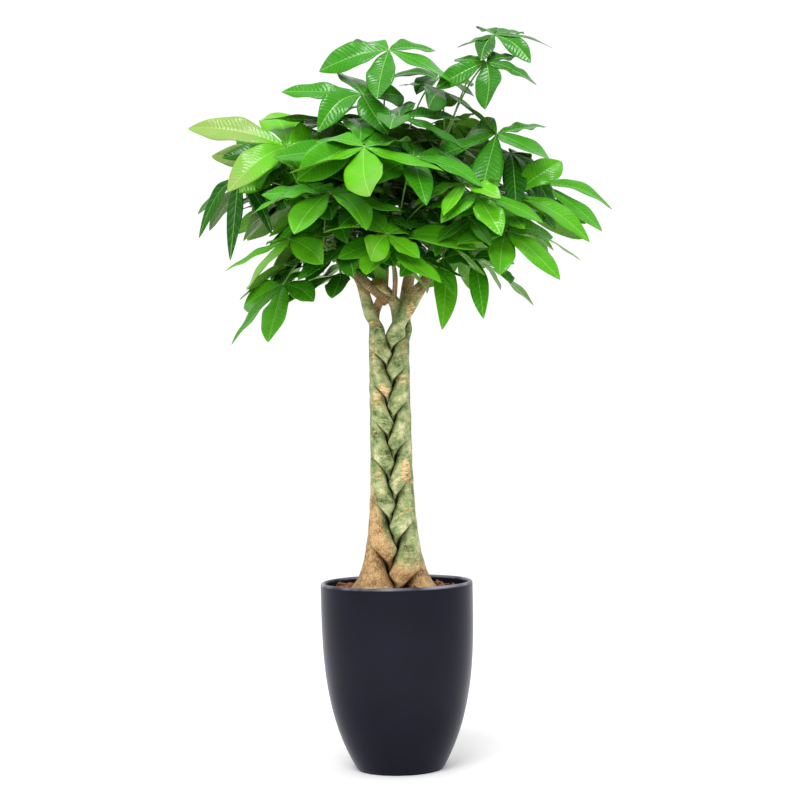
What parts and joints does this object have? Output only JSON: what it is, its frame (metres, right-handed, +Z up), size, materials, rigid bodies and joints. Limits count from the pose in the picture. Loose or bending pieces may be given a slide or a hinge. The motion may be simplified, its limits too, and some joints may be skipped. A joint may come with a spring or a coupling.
{
  "type": "potted money tree",
  "caption": "Tall house plant with a braided woody trunk and a round crown of palmate leaves, standing in a tapered dark pot filled with soil.",
  "frame": {"origin": "middle of the pot's flat foot, on the surface it stands on", "axes": "+Z up along the pot's axis, -Y towards the side that the picture shows"},
  "size_m": [0.8449, 0.8156, 1.4877],
  "materials": {
    "pot": "satin",
    "soil": "matt, crumbly",
    "bark": "matt bark",
    "leaf": "waxy, semi-gloss"
  },
  "bodies": {
    "root": {"pot": "pot", "soil": "soil", "stem_1": "bark", "stem_2": "bark", "stem_3": "bark", "stem_4": "bark", "stem_5": "bark", "shoot_left": "leaf", "shoot_left_front": "leaf", "shoot_front_left": "leaf", "shoot_front_right": "leaf", "shoot_middle_top": "leaf", "shoot_back_top": "leaf", "shoot_right_top": "leaf", "shoot_right": "leaf", "shoot_right_front": "leaf", "shoot_back_left": "leaf", "shoot_back": "leaf", "shoot_back_right": "leaf"}
  },
  "joints": []
}
